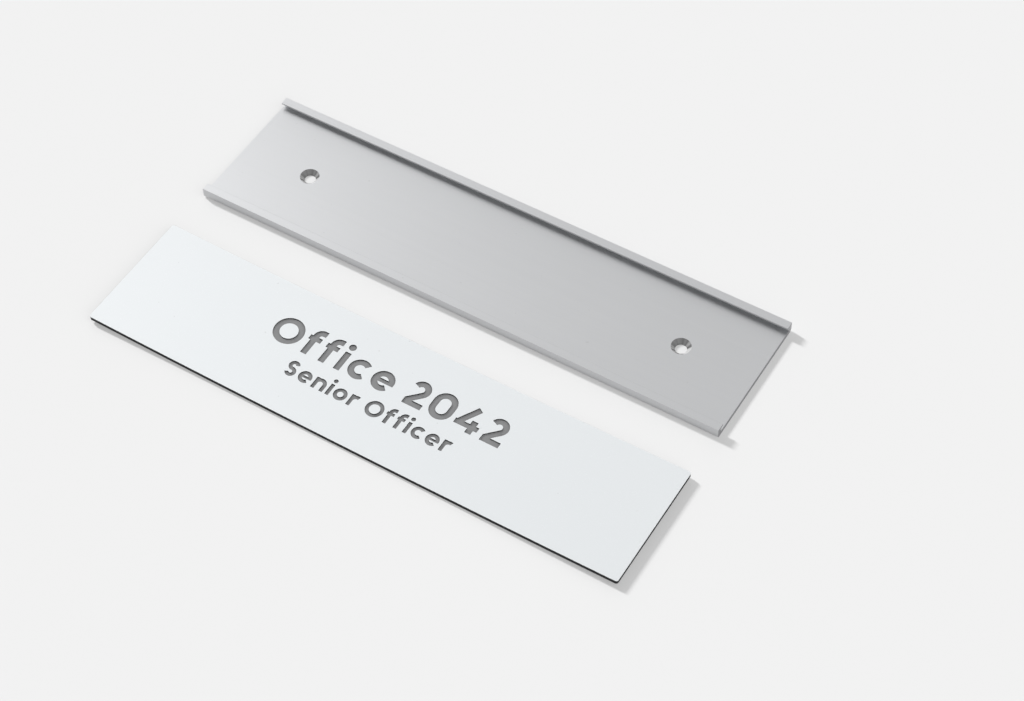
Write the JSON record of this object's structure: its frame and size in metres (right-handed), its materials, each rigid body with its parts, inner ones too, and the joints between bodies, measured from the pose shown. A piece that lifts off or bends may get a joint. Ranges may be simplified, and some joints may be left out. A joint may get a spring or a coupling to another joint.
{
  "type": "engraved door sign",
  "caption": "Slide-in door sign: a lipped aluminium wall holder with countersunk screw holes, and a thin bowed white engraving plate with a dark core, lying in front of it.",
  "frame": {"origin": "centre of the holder's flat back face, which lies on the wall, or here on the floor", "axes": "+X along the sign, +Y across it away from the loose insert, +Z out of the holder's back towards its open face"},
  "size_m": [0.2, 0.1132, 0.0042],
  "materials": {
    "anodised_aluminium": "satin silver anodised, with a fine grain along the extrusion and bare metal in the countersinks",
    "core_ply": "matt charcoal acrylic, grey where the cutter has engraved it",
    "face_ply": "satin white acrylic skin"
  },
  "bodies": {
    "root": {"holder": "anodised_aluminium", "insert_core": "core_ply", "insert_face": "face_ply"}
  },
  "joints": []
}
